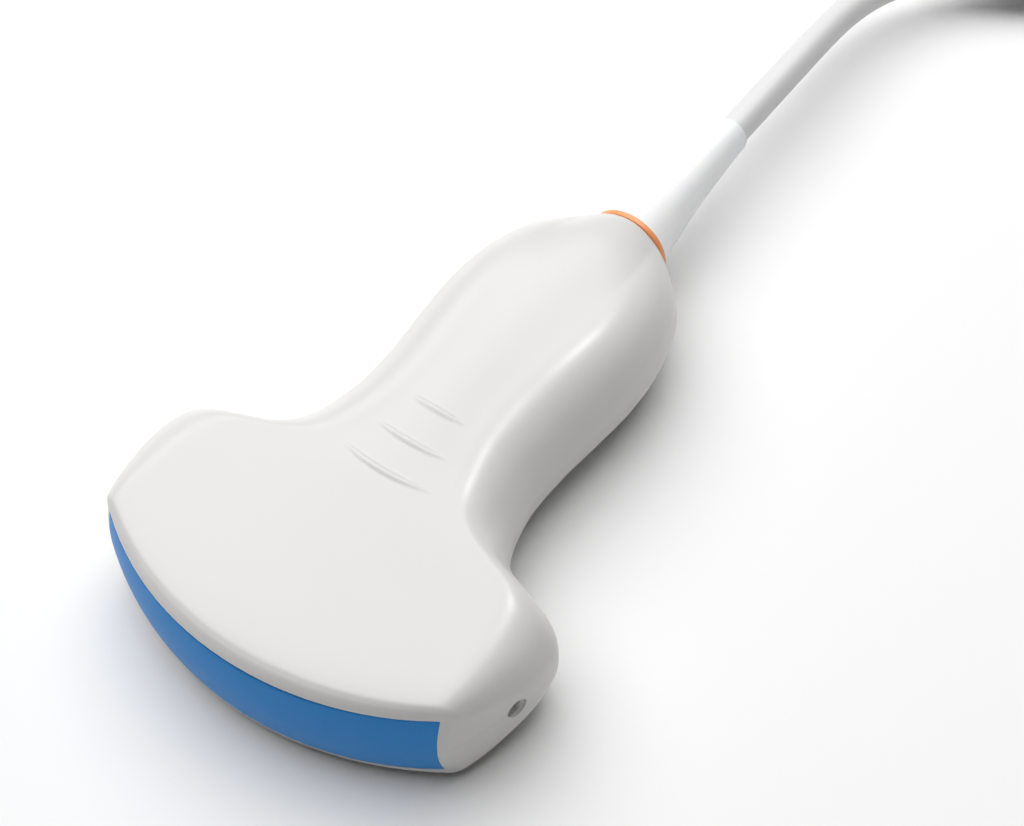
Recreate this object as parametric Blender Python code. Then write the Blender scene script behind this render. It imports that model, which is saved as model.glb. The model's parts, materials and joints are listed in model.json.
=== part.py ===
"""Convex ultrasound probe with its cable and its connector, lying flat, at real size.

The lens faces -Y and the cable leaves towards +Y. The origin is under the middle of the probe, on the
surface that it lies on. Sizes below are in millimetres, and solid() turns them into metres.
"""

import math

import bmesh
import bpy
from mathutils import Vector

MM = 0.001
GAP = 0.3  # between neighbours that touch

# Probe: driving dimensions. "Along" is the distance behind the lens rim's middle, "up" is from the axis.
PROBE_LENGTH = 153.3
LENS_CROWN = 1.2
AXIS_HEIGHT = 11.7
WALL = 2.2
LENS_RADIUS = 60.0
LENS_HALF_CHORD = 34.3
LENS_HALF_HEIGHT = 7.9
LENS_THICKNESS = 1.6
GUIDE_HOLE_RADIUS = 1.7
GUIDE_HOLE_ALONG = 22.6
TAIL_END = 114.2
TAIL_RISE = 1.0  # the cable leaves this much above the lens's middle
TAIL_BORE = 6.4
RING_RADIUS = 8.2
RING_WIDTH = 1.2
RELIEF_END = PROBE_LENGTH - LENS_CROWN

# The housing's outline: along at the middle, along at the sides, half width, height above the axis,
# depth below it, side radius across, side radius upwards, and roundness from 0 (boxy) to 1 (round).
STATIONS = (
    (0.0, 11.7, 35.5, 8.7, 8.7, 0.7, 0.7, 0.0),
    (0.5, 12.1, 36.0, 9.4, 9.6, 1.5, 1.5, 0.0),
    (1.4, 13.0, 36.6, 10.2, 10.5, 2.7, 2.7, 0.0),
    (3.0, 14.4, 37.3, 10.8, 11.2, 4.2, 4.2, 0.0),
    (7.0, 18.0, 38.6, 11.2, 11.7, 5.8, 5.8, 0.0),
    (13.0, 22.4, 39.9, 11.4, 11.7, 7.2, 7.4, 0.0),
    (19.0, 26.8, 40.8, 11.5, 11.7, 8.2, 8.8, 0.0),
    (25.2, 30.8, 40.9, 11.6, 11.7, 8.8, 9.8, 0.0),
    (30.4, 34.0, 40.2, 11.7, 11.7, 9.2, 10.4, 0.0),
    (34.1, 36.2, 38.0, 11.8, 11.7, 9.6, 10.8, 0.0),
    (36.6, 37.6, 34.2, 11.9, 11.7, 10.0, 11.0, 0.0),
    (39.0, 39.4, 29.2, 12.0, 11.7, 10.4, 11.2, 0.0),
    (42.4, 42.4, 24.7, 12.1, 11.7, 10.8, 11.2, 0.0),
    (46.4, 46.4, 22.0, 12.2, 11.7, 11.0, 11.2, 0.0),
    (51.5, 51.5, 20.3, 12.4, 11.7, 11.2, 11.2, 0.0),
    (57.6, 57.6, 19.3, 12.6, 11.7, 11.6, 11.2, 0.0),
    (66.4, 66.4, 19.4, 12.8, 11.7, 12.0, 11.2, 0.0),
    (76.2, 76.2, 20.3, 13.0, 11.7, 12.0, 11.2, 0.0),
    (85.0, 85.0, 21.0, 13.0, 11.7, 12.0, 11.2, 0.05),
    (92.8, 92.8, 20.8, 12.8, 11.5, 12.0, 11.0, 0.15),
    (99.4, 99.4, 19.6, 12.4, 11.1, 12.0, 10.6, 0.3),
    (105.2, 105.2, 17.2, 11.8, 10.3, 11.4, 10.0, 0.5),
    (110.0, 110.0, 13.4, 10.8, 9.1, 10.0, 9.0, 0.75),
    (113.2, 113.2, 9.9, 9.8, 7.9, 8.8, 7.8, 0.95),
    (TAIL_END, TAIL_END, 8.1, 9.1, 7.1, 7.8, 7.0, 1.0),
)
TOP_CROWN = 0.5
WINDOW_STATIONS = 4  # the first stations, where the inside is the lens's seat

# Cable.
CABLE_RADIUS = 3.25
CABLE_BORE = CABLE_RADIUS + GAP
COIL_CENTRE = (1.0, 206.6)
COIL_COLUMNS = 4
COIL_LAYERS = 2
COIL_MIDDLE_RADIUS = 36.0
COIL_LIFT = 1.2  # the tie's strap passes under the coil
TIE_WIDTH = 12.0
TIE_THICKNESS = 0.8
TIE_ANGLE = 95.0

# Connector: X is the plugging direction, the contacts face -X, and the cable enters from -Y.
CONNECTOR_X = 27.25
CONNECTOR_FRONT_Y = 257.0
CONNECTOR_LENGTH = 68.0
CONNECTOR_DEPTH = 30.0
CONNECTOR_HEIGHT = 44.0
SHELL_WALL = 2.0
BOOT_LENGTH = 30.0
SHAFT_RADIUS = 2.5

# Routes of the cable's free stretches, through points chosen by hand.
PROBE_SIDE_ROUTE = (
    (0.0, 76.95, 12.7),
    (0.0, 90.0, 12.7),
    (0.0, 102.5, 12.6),
    (-0.1, 112.5, 12.2),
    (0.1, 122.2, 11.6),
    (1.4, 131.6, 10.9),
    (4.4, 140.5, 10.0),
    (9.4, 148.2, 9.0),
    (16.0, 154.0, 7.9),
    (23.6, 158.5, 6.8),
    (31.2, 163.2, 5.7),
    (38.2, 169.4, 4.7),
)
CONNECTOR_SIDE_ROUTE = (
    (-29.2, 176.4, 18.3),
    (-11.0, 169.6, 19.1),
    (6.4, 172.5, 20.1),
    (18.9, 182.0, 21.0),
    (25.4, 194.1, 21.7),
    (27.2, 206.6, 22.0),
    (27.25, 216.7, 22.0),
    (27.25, 226.7, 22.0),
)


def clear_scene():
    """Start from an empty scene."""
    for old in list(bpy.data.objects):
        bpy.data.objects.remove(old, do_unlink=True)


def material(name, colour, roughness, metallic=0.0):
    """A Principled material."""
    made = bpy.data.materials.new(name)
    made.use_nodes = True
    shader = made.node_tree.nodes["Principled BSDF"]
    shader.inputs["Base Color"].default_value = (*colour, 1.0)
    shader.inputs["Roughness"].default_value = roughness
    shader.inputs["Metallic"].default_value = metallic
    return made


def probe_point(across, along, up):
    """A point of the probe, from its own measures to the frame's."""
    return (across, along + LENS_CROWN - PROBE_LENGTH / 2, up + AXIS_HEIGHT)


def tail_point(across, up, along):
    """A point about the cable's axis at the probe's tail."""
    return probe_point(across, along, up + TAIL_RISE)


def connector_point(out, along, up):
    """A point of the connector: out along +X, along from its cable end, up from its middle."""
    return (CONNECTOR_X + out, CONNECTOR_FRONT_Y + along, CONNECTOR_HEIGHT / 2 + up)


def solid(name, shape, finish, smooth=True):
    """Turn a bmesh in millimetres into one named object, with its faces pointing out."""
    bmesh.ops.recalc_face_normals(shape, faces=shape.faces)
    bmesh.ops.scale(shape, vec=(MM, MM, MM), verts=shape.verts)
    mesh = bpy.data.meshes.new(name)
    shape.to_mesh(mesh)
    shape.free()
    if smooth:
        mesh.shade_smooth()
        mesh.set_sharp_from_angle(angle=math.radians(35.0))
    mesh.materials.append(finish)
    made = bpy.data.objects.new(name, mesh)
    bpy.context.scene.collection.objects.link(made)
    return made


def bridged(name, loops, finish, ring=False, smooth=True):
    """A solid through a row of loops with equal counts: capped at both ends, or closed into a ring."""
    shape = bmesh.new()
    rows = [[shape.verts.new(point) for point in loop] for loop in loops]
    count = len(rows[0])
    pairs = list(zip(rows, rows[1:]))
    if ring:
        pairs.append((rows[-1], rows[0]))
    else:
        shape.faces.new(rows[0])
        shape.faces.new(rows[-1])
    for near, far in pairs:
        for k in range(count):
            after = (k + 1) % count
            shape.faces.new((near[k], near[after], far[after], far[k]))
    return solid(name, shape, finish, smooth)


def circle(radius, steps, place):
    """A loop of points at a radius. place(a, b) puts each where it belongs."""
    angles = [2 * math.pi * k / steps for k in range(steps)]
    return [place(radius * math.cos(a), radius * math.sin(a)) for a in angles]


def turned(name, profile, place, finish, steps=24, ring=False):
    """A turned piece. profile holds (radius, along); place(a, b, along) puts each point."""
    loops = [
        circle(radius, steps, lambda a, b, t=along: place(a, b, t)) for radius, along in profile
    ]
    return bridged(name, loops, finish, ring)


def rounded_loop(half_a, half_b, radius, place, segments=3):
    """A rectangle with round corners. place(a, b) puts each point."""
    points = []
    for k, (sign_a, sign_b) in enumerate(((1, 1), (-1, 1), (-1, -1), (1, -1))):
        for step in range(segments + 1):
            angle = math.pi / 2 * (k + step / segments)
            a = sign_a * (half_a - radius) + radius * math.cos(angle)
            b = sign_b * (half_b - radius) + radius * math.sin(angle)
            points.append(place(a, b))
    return points


def slab(name, outline, depths, place, finish):
    """A flat piece: an outline of (a, b) pushed between two depths. place(a, b, depth) puts each point."""
    loops = [[place(a, b, depth) for a, b in outline] for depth in depths]
    return bridged(name, loops, finish, smooth=False)


def box(name, low, high, place, finish):
    """A block between two corners, in the measures of place."""
    outline = ((low[0], low[1]), (high[0], low[1]), (high[0], high[1]), (low[0], high[1]))
    return slab(name, outline, (low[2], high[2]), place, finish)


def combine(target, cutter, operation="DIFFERENCE"):
    """Cut a piece with a hidden helper, or join the helper to it."""
    cutter.hide_render = True
    cutter.display_type = "WIRE"
    change = target.modifiers.new(cutter.name, "BOOLEAN")
    change.operation = operation
    change.object = cutter
    return target


# ---------------------------------------------------------------- housing


def bow(across, half_width, sag):
    """How far an arc that reaches sag at half_width has gone back at a point across."""
    if abs(sag) < 1e-6:
        return 0.0
    radius = (half_width**2 + sag**2) / (2 * abs(sag))
    return math.copysign(radius - math.sqrt(max(radius**2 - across**2, 0.0)), sag)


def half_section(station, crown, side):
    """Points from +X over to -X on one side (1 above, -1 below) of one station."""
    middle, flank, width, above, below, run, rise, roundness = station
    height = above if side > 0 else below
    rise = min(rise, height * 0.96)
    quarter = [(width, 0.0)]
    quarter += [
        (width - run * (1 - math.cos(a)), height - rise * (1 - math.sin(a)))
        for a in [math.pi / 8 * k for k in range(5)]
    ]
    flat = width - run
    quarter += [(flat * k / 3, height + crown * (1 - (k / 3) ** 2)) for k in (2, 1, 0)]
    steps = len(quarter) - 1
    points = []
    for k, (x, z) in enumerate(quarter):
        angle = math.pi / 2 * k / steps
        x += roundness * (width * math.cos(angle) - x)
        z += roundness * (height * math.sin(angle) - z)
        points.append((max(x, 0.0), max(z, GAP / 2)))
    points += [(-x, z) for x, z in reversed(points[:-1])]
    return [
        probe_point(x, middle + bow(x, width, flank - middle), side * z) for x, z in points
    ]


def inner_station(index):
    """The cavity behind a station of the outline: the lens's seat, an even wall, then the tail's bore."""
    middle, flank, width, above, below, run, rise, roundness = STATIONS[index]
    seat = (LENS_HALF_CHORD + GAP, LENS_HALF_HEIGHT + GAP)
    last = len(STATIONS) - 1
    if index < WINDOW_STATIONS:
        middle *= 1.5
        sag = LENS_RADIUS - math.sqrt(LENS_RADIUS**2 - seat[0] ** 2)
        return (middle, middle + sag, *seat, seat[1], 0.5, 0.5, 0.0)
    bore = (TAIL_BORE, TAIL_BORE + TAIL_RISE, TAIL_BORE - TAIL_RISE, 6.0, 5.0, 1.0)
    if index == last:
        return (TAIL_END, TAIL_END, *bore)
    if index == last - 1:
        bore_start = TAIL_END - 6.0
        return (bore_start, bore_start, *bore)
    if index == last - 2:
        cavity_end = TAIL_END - 6.5
        return (cavity_end, cavity_end, 9.6, 8.8 + TAIL_RISE, 8.8 - TAIL_RISE, 9.0, 7.4, 1.0)
    before, after = STATIONS[index - 1], STATIONS[index + 1]
    turn = Vector((after[2] - before[2], after[1] - before[1])).normalized()
    inward = Vector((-turn.y, turn.x)) * WALL
    return (
        middle,
        flank + inward.y,
        width + inward.x,
        above - WALL,
        below - WALL,
        max(run - WALL, 1.0),
        max(rise - WALL, 1.0),
        roundness,
    )


def housing_half(name, side, finish):
    """One moulded half: the outline outside, its cavity inside, joined round all four edges."""
    crown = TOP_CROWN if side > 0 else 0.0
    outside = [half_section(station, crown, side) for station in STATIONS]
    inside = [half_section(inner_station(k), crown, side) for k in range(len(STATIONS))]
    shape = bmesh.new()
    outer = [[shape.verts.new(point) for point in row] for row in outside]
    inner = [[shape.verts.new(point) for point in row] for row in inside]
    for grid in (outer, inner):
        for near, far in zip(grid, grid[1:]):
            for k in range(len(near) - 1):
                shape.faces.new((near[k], near[k + 1], far[k + 1], far[k]))
    for end in (0, -1):
        for k in range(len(outer[end]) - 1):
            corners = (outer[end][k], outer[end][k + 1], inner[end][k + 1], inner[end][k])
            shape.faces.new(corners)
    for edge in (0, -1):
        for k in range(len(outer) - 1):
            corners = (outer[k][edge], outer[k + 1][edge], inner[k + 1][edge], inner[k][edge])
            shape.faces.new(corners)
    return solid(name, shape, finish)


def guide_hole(name, side):
    """Cutter for the hole that locates a needle guide, in one end of the head."""
    depth = ((GUIDE_HOLE_RADIUS, 38.1), (GUIDE_HOLE_RADIUS, 43.0))

    def place(a, b, out):
        return probe_point(side * out, GUIDE_HOLE_ALONG + a, b)

    return turned(name, depth, place, None, steps=16)


def make_housing(white):
    """Top and bottom shells, with the guide holes shared between them."""
    for name, side in (("housing_top", 1), ("housing_bottom", -1)):
        half = housing_half(name, side, white)
        for label, end in (("right", 1), ("left", -1)):
            combine(half, guide_hole(f"{name}_cutter_{label}", end))


# ---------------------------------------------------------------- acoustic stack


def arc_block(name, radii, half_angle, half_height, finish, steps=16, crown=0.0):
    """A block between two radii about the lens's centre, crowned forwards at mid height."""
    angles = [math.radians(half_angle) * (2 * k / steps - 1) for k in range(steps + 1)]
    levels = (-1.0, -0.5, 0.0, 0.5, 1.0) if crown else (-1.0, 1.0)

    def point(radius, angle, level):
        along = LENS_RADIUS - radius * math.cos(angle)
        return probe_point(radius * math.sin(angle), along, level * half_height)

    outer, inner = radii
    front = [(outer + crown * (1 - level**2), level) for level in levels]
    back = [(inner, level) for level in reversed(levels)]
    loops = [[point(radius, a, level) for radius, level in front + back] for a in angles]
    return bridged(name, loops, finish)


def make_acoustic_stack(finishes):
    """Lens, matching layers, ceramic, backing and the frame that carries them, front to back."""
    lens_angle = math.degrees(math.asin(LENS_HALF_CHORD / LENS_RADIUS))
    inner = LENS_RADIUS - LENS_THICKNESS
    arc_block(
        "acoustic_lens",
        (LENS_RADIUS, inner),
        lens_angle,
        LENS_HALF_HEIGHT,
        finishes["lens"],
        steps=24,
        crown=LENS_CROWN,
    )
    layers = (
        ("matching_layer_outer", 0.5, 33.6, 6.6, "layer"),
        ("matching_layer_inner", 0.5, 33.6, 6.6, "layer"),
        ("piezo_array", 0.6, 33.1, 6.4, "ceramic"),
        ("backing_block", 10.0, 32.6, 6.0, "backing"),
        ("array_frame", 5.5, 32.6, 6.6, "metal"),
    )
    radius = inner
    for name, thickness, angle, height, finish in layers:
        radius -= GAP
        arc_block(name, (radius, radius - thickness), angle, height, finishes[finish])
        radius -= thickness
    return radius


def flex_circuit(name, side, finish):
    """Thin flex circuit from the array over the backing to the board connector."""
    front = [(30.0 * k / 4, 4.0 + bow(30.0 * k / 4, 30.0, 8.3)) for k in range(4, -5, -1)]
    outline = front + [(-30.0, 20.0), (-9.0, 40.0), (-9.0, 47.0), (9.0, 47.0), (9.0, 40.0), (30.0, 20.0)]
    levels = (side * 7.4, side * 7.8)
    return slab(name, outline, levels, probe_point, finish)


# ---------------------------------------------------------------- inside the handle


def screw(name, head, shank, place, finish, steps=12):
    """A screw from its head's (radius, height) and its shank's (radius, length), head at zero."""
    profile = ((head[0], head[1]), (head[0], 0.0), (shank[0], 0.0), (shank[0], -shank[1]))
    return turned(name, profile, place, finish, steps)


def make_chassis(finishes, frame_back):
    """The aluminium spine, its front flange, and the two screws that hold it to the array frame."""
    flange = (frame_back + 3.0, frame_back + 5.0)
    web = 0.7
    rail = (11.4, 12.6, 3.0)
    profile = [(rail[1], -rail[2]), (rail[1], rail[2]), (rail[0], rail[2]), (rail[0], web)]
    profile += [(-x, z) for x, z in reversed(profile[1:])]
    profile += [(-rail[1], -rail[2]), (-rail[0], -rail[2]), (-rail[0], -web)]
    profile += [(rail[0], -web), (rail[0], -rail[2])]

    def place(across, up, along):
        return probe_point(across, along, up)

    chassis = slab("chassis", profile, (flange[1] - 0.5, 86.0), place, finishes["metal"])
    plate = box("chassis_flange", (-14.0, -5.6, flange[0]), (14.0, 5.6, flange[1]), place, finishes["metal"])
    combine(chassis, plate, "UNION")
    frame = bpy.data.objects["array_frame"]
    for label, side in (("left", -1), ("right", 1)):
        across = 8.5 * side

        def at(a, b, along, x=across):
            return probe_point(x + a, flange[1] + GAP + along, b)

        name = f"chassis_screw_{label}"
        screw(name, (2.0, 1.3), (1.1, 6.0), at, finishes["steel"])
        hole = ((2.4, 8.0), (2.4, 0.0), (1.4, 0.0), (1.4, -6.6))
        drill = turned(f"{name}_drill", hole, at, None, steps=12)
        combine(chassis, drill)
        combine(frame, drill)


def make_boards(finishes):
    """Two interface boards on the spine's rails, their connectors, flex circuits and shields."""
    for label, side in (("upper", 1), ("lower", -1)):
        low, high = side * 3.3, side * 4.5
        outline = ((-12.4, 42.0), (12.4, 42.0), (12.4, 86.0), (-12.4, 86.0))
        slab(f"interface_board_{label}", outline, (low, high), probe_point, finishes["board"])
        seat = ((-9.0, 43.0), (9.0, 43.0), (9.0, 47.5), (-9.0, 47.5))
        depths = (high + side * GAP, side * (7.4 - GAP))
        slab(f"board_connector_{label}", seat, depths, probe_point, finishes["black"])
        flex_circuit(f"flex_circuit_{label}", side, finishes["flex"])
        shield(f"shield_{label}", side, finishes["foil"])


def shield(name, side, finish):
    """A thin arched shield over one board."""
    half_width, height, corner, thickness = 14.0, 8.8, 7.0, 0.5

    def arch(width, top, radius):
        corner_points = [
            (width - radius * (1 - math.cos(a)), top - radius * (1 - math.sin(a)))
            for a in [math.pi / 8 * k for k in range(5)]
        ]
        right = [(width, 0.6), *corner_points]
        return right + [(-x, z) for x, z in reversed(right)]

    outer = arch(half_width, height, corner)
    inner = arch(half_width - thickness, height - thickness, corner - thickness)
    outline = [(x, side * z) for x, z in outer + inner[::-1]]

    def place(across, up, along):
        return probe_point(across, along, up)

    return slab(name, outline, (49.0, 92.0), place, finish)


def make_cable_anchor(finishes):
    """Wires from the boards, the jacket's end, and the two-part clamp that grips it."""
    shape = ((86.6, 9.0, 4.4), (89.0, 8.4, 4.2), (93.0, 4.8, 3.6), (96.6, 3.0, 3.0))
    loops = [
        [
            tail_point(width * math.cos(a), height * math.sin(a), along)
            for a in [math.pi / 8 * k for k in range(16)]
        ]
        for along, width, height in shape
    ]
    bridged("coax_bundle", loops, finishes["wire"])
    jacket = ((CABLE_RADIUS, 97.0), (CABLE_RADIUS, RELIEF_END - GAP))
    turned("cable_jacket_end", jacket, tail_point, finishes["cable"], steps=20)
    for label, side in (("upper", 1), ("lower", -1)):
        arc = [math.pi * k / 10 for k in range(11)]
        notch = [(CABLE_BORE * math.cos(a), side * max(CABLE_BORE * math.sin(a), 0.2)) for a in arc]
        outline = notch + [(-9.0, side * 0.2), (-9.0, side * 6.0), (9.0, side * 6.0), (9.0, side * 0.2)]
        slab(f"cable_clamp_{label}", outline, (97.4, 102.4), tail_point, finishes["black"])
    for label, side in (("left", -1), ("right", 1)):
        across = 6.4 * side

        def at(a, b, up, x=across):
            return tail_point(x + a, 6.0 + GAP + up, 99.9 + b)

        name = f"clamp_screw_{label}"
        screw(name, (1.9, 1.2), (1.0, 10.0), at, finishes["steel"])
        drill = turned(f"{name}_drill", ((1.3, 1.0), (1.3, -10.6)), at, None, steps=12)
        for half in ("upper", "lower"):
            combine(bpy.data.objects[f"cable_clamp_{half}"], drill)


def make_tail(finishes):
    """O-ring, identification ring and the strain relief that passes through them."""
    middle = TAIL_END - 7.1
    angles = [math.pi / 4 * k for k in range(8)]
    seal = [(7.3 + 0.6 * math.cos(a), middle + 0.6 * math.sin(a)) for a in angles]
    turned("tail_seal", seal, tail_point, finishes["black"], steps=24, ring=True)
    low, high = TAIL_END + GAP, TAIL_END + GAP + RING_WIDTH
    ring = ((TAIL_BORE, low), (RING_RADIUS, low), (RING_RADIUS, high), (TAIL_BORE, high))
    turned("identification_ring", ring, tail_point, finishes["orange"], steps=32, ring=True)
    neck = TAIL_BORE - GAP
    outside = (
        (8.5, TAIL_END - 10.5),
        (8.5, TAIL_END - 8.0),
        (neck, TAIL_END - 8.0),
        (neck, high + GAP),
        (7.4, high + GAP),
        (7.1, 118.2),
        (6.5, 122.0),
        (5.8, 127.0),
        (5.1, 133.0),
        (4.6, 139.0),
        (4.2, 145.0),
        (3.95, 150.2),
        (3.8, RELIEF_END),
    )
    bore = ((CABLE_BORE, RELIEF_END), (CABLE_BORE, TAIL_END - 10.5))
    turned("strain_relief", outside + bore, tail_point, finishes["gloss"], steps=24, ring=True)


# ---------------------------------------------------------------- cable


def smooth_route(points, spacing):
    """Points about every spacing along a Catmull-Rom curve through the route's own points."""
    knots = [Vector(point) for point in points]
    ends = [2 * knots[0] - knots[1], *knots, 2 * knots[-1] - knots[-2]]
    route = []
    for p0, p1, p2, p3 in zip(ends, ends[1:], ends[2:], ends[3:]):
        steps = max(1, round((p2 - p1).length / spacing))
        for k in range(steps):
            t = k / steps
            route.append(
                0.5
                * (
                    2 * p1
                    + (p2 - p0) * t
                    + (2 * p0 - 5 * p1 + 4 * p2 - p3) * t**2
                    + (3 * p1 - 3 * p2 + p3 - p0) * t**3
                )
            )
    return [*route, knots[-1]]


def cable_tube(name, points, finish):
    """A free stretch of cable, as a bevelled poly curve with filled caps."""
    curve = bpy.data.curves.new(name, "CURVE")
    curve.dimensions = "3D"
    curve.bevel_depth = CABLE_RADIUS * MM
    curve.bevel_resolution = 3
    curve.use_fill_caps = True
    route = smooth_route(points, 2.2 * CABLE_RADIUS * 2)
    spline = curve.splines.new("POLY")
    spline.points.add(len(route) - 1)
    for point, place in zip(spline.points, route):
        point.co = (*(place * MM), 1.0)
    made = bpy.data.objects.new(name, curve)
    bpy.context.scene.collection.objects.link(made)
    curve.materials.append(finish)
    return made


def make_cable(finishes):
    """Both free stretches, the coil of the stored length, and the strap that ties it."""
    cable_tube("cable_probe_side", PROBE_SIDE_ROUTE, finishes["cable"])
    cable_tube("cable_connector_side", CONNECTOR_SIDE_ROUTE, finishes["cable"])
    half_width = COIL_COLUMNS * CABLE_RADIUS
    height = COIL_LAYERS * 2 * CABLE_RADIUS
    centre_x, centre_y = COIL_CENTRE

    def place(a, b, up):
        return (centre_x + a, centre_y + b, up)

    chamfer = CABLE_RADIUS * 0.6
    low, high = COIL_LIFT, COIL_LIFT + height
    section = [
        (COIL_MIDDLE_RADIUS - half_width, low + chamfer),
        (COIL_MIDDLE_RADIUS - half_width + chamfer, low),
        (COIL_MIDDLE_RADIUS + half_width - chamfer, low),
        (COIL_MIDDLE_RADIUS + half_width, low + chamfer),
        (COIL_MIDDLE_RADIUS + half_width, high - chamfer),
        (COIL_MIDDLE_RADIUS + half_width - chamfer, high),
        (COIL_MIDDLE_RADIUS - half_width + chamfer, high),
        (COIL_MIDDLE_RADIUS - half_width, high - chamfer),
    ]
    turned("cable_coil", section, place, finishes["cable"], steps=48, ring=True)
    make_tie(finishes["strap"], half_width, height)


def make_tie(finish, half_width, height):
    """A flat strap that loops once round the coil's bundle."""
    angle = math.radians(TIE_ANGLE)
    out = Vector((math.cos(angle), math.sin(angle)))
    sideways = Vector((-out.y, out.x))
    middle = Vector(COIL_CENTRE) + out * COIL_MIDDLE_RADIUS
    centre_up = COIL_LIFT + height / 2

    # The coil curves inside the strap, so the strap's sides stand off it by the arc's rise and a gap.
    gap = GAP + 0.05
    rise = TIE_WIDTH**2 / (8 * (COIL_MIDDLE_RADIUS - half_width))

    def loop(grow, side):
        def place(a, b):
            spot = middle + out * a + sideways * (side * TIE_WIDTH / 2)
            return (spot.x, spot.y, centre_up + b)

        return rounded_loop(half_width + rise + grow, height / 2 + grow, 1.0 + grow, place)

    near, far = (1, -1)
    loops = [loop(gap, near), loop(gap + TIE_THICKNESS, near)]
    loops += [loop(gap + TIE_THICKNESS, far), loop(gap, far)]
    return bridged("cable_tie", loops, finish, ring=True)


# ---------------------------------------------------------------- connector


def connector_shell(name, side, finish):
    """One tray-shaped half of the connector's shell, open at the split."""
    half_length, half_height = CONNECTOR_LENGTH / 2, CONNECTOR_HEIGHT / 2
    depth = CONNECTOR_DEPTH / 2
    rim = GAP / 2

    def loop(inset, out, radius):
        def place(a, b):
            return connector_point(side * out, half_length + a, b)

        return rounded_loop(half_length - inset, half_height - inset, radius, place)

    wall = SHELL_WALL
    loops = [
        loop(wall, depth - wall, 5.0),
        loop(wall, rim, 5.0),
        loop(0.0, rim, 7.0),
        loop(0.0, depth - 3.0, 7.0),
        loop(0.9, depth - 0.9, 6.2),
        loop(3.0, depth, 5.0),
    ]
    shell = bridged(name, loops, finish)

    def along_y(a, b, along):
        return connector_point(a, along, b)

    entry = turned(f"{name}_entry", ((5.3, -1.0), (5.3, 3.0)), along_y, None, steps=20)
    return combine(shell, entry)


def make_shells(finishes):
    """Both halves, with posts in the front one, and the four screws that join them."""
    front = connector_shell("connector_shell_front", -1, finishes["shell"])
    back = connector_shell("connector_shell_back", 1, finishes["shell"])
    depth = CONNECTOR_DEPTH / 2
    seats = [(along, up) for along in (7.0, CONNECTOR_LENGTH - 7.0) for up in (-15.0, 15.0)]
    for number, (along, up) in enumerate(seats, 1):

        def at(a, b, out, y=along, z=up):
            return connector_point(out, y + a, z + b)

        name = f"shell_screw_{number}"
        post = turned(f"{name}_post", ((3.2, -depth + 1.0), (3.2, -GAP)), at, finishes["shell"], steps=12)
        combine(front, post, "UNION")
        pillar = turned(f"{name}_pillar", ((3.2, GAP), (3.2, depth - 1.0)), at, finishes["shell"], steps=12)
        combine(back, pillar, "UNION")
        tap = turned(f"{name}_tap", ((1.3, -9.0), (1.3, 1.0)), at, None, steps=12)
        combine(front, tap)
        stepped = ((1.3, -1.0), (1.3, 8.0), (2.6, 8.0), (2.6, depth + 1.0))
        bore = turned(f"{name}_bore", stepped, at, None, steps=12)
        combine(back, bore)

        def head(a, b, out, y=along, z=up):
            return connector_point(8.3 + out, y + a, z + b)

        screw(name, (2.2, 1.6), (1.0, 16.0), head, finishes["steel"])
    return front, back


def make_contacts(front, finishes):
    """Contact block through the front shell, its face plate and its contact strips."""
    centre = CONNECTOR_LENGTH / 2
    depth = CONNECTOR_DEPTH / 2

    def plate_loop(half_a, half_b, radius, out):
        def place(a, b):
            return connector_point(out, centre + a, b)

        return rounded_loop(half_a, half_b, radius, place)

    opening = [plate_loop(22.8, 11.8, 2.3, out) for out in (-depth - 2.0, -depth + 4.0)]
    combine(front, bridged("front_opening", opening, None))
    levels = (-depth - GAP, -depth - GAP - 1.2)
    plate_loops = [plate_loop(22.8, 11.8, 2.3, out) for out in levels]
    plate_loops += [plate_loop(28.5, 17.0, 3.0, out) for out in reversed(levels)]
    bridged("connector_plate", plate_loops, finishes["metal"], ring=True)
    face = depth + 8.0
    block_loops = [plate_loop(22.5, 11.5, 2.0, out) for out in (-8.0, -face + 1.0)]
    block_loops.append(plate_loop(21.7, 10.7, 1.4, -face))
    block = bridged("contact_block", block_loops, finishes["block"])
    combine(block, shaft_bore("contact_block_bore", SHAFT_RADIUS + GAP, -face - 1.0, -7.0))
    number = 0
    for low, high in ((-20.0, -10.0), (10.0, 20.0)):
        for up in (-5.0, 5.0):
            number += 1
            near_corner = (-face - 1.0, low, up - 1.3)
            far_corner = (-face + 1.6, high, up + 1.3)
            groove = box_at(f"contact_groove_{number}", near_corner, far_corner, None)
            combine(block, groove)
            corner = (-face + 0.2, low + GAP, up - 1.0)
            box_at(f"contact_strip_{number}", corner, (-face + 1.3, high - GAP, up + 1.0), finishes["gold"])


def box_at(name, low, high, finish):
    """A block in the connector's measures, its along counted from the connector's middle."""

    def place(out, along, up):
        return connector_point(out, CONNECTOR_LENGTH / 2 + along, up)

    return box(name, low, high, place, finish)


def shaft_place(a, b, out):
    """A point about the lock's axis, which runs along X through the connector's middle."""
    return connector_point(out, CONNECTOR_LENGTH / 2 + a, b)


def shaft_bore(name, radius, low, high):
    """Cutter for the lock shaft's way through a piece."""
    return turned(name, ((radius, low), (radius, high)), shaft_place, None, steps=20)


def make_termination_boards(finishes):
    """Two boards across the connector that carry the contacts' wiring round the shaft."""
    for number, out in enumerate((-4.5, 2.5), 1):
        low, high = (out, -25.0, -11.5), (out + 1.4, 25.0, 11.5)
        board = box_at(f"termination_board_{number}", low, high, finishes["board"])
        combine(board, shaft_bore(f"board_bore_{number}", 3.4, out - 1.0, out + 2.4))


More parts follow.
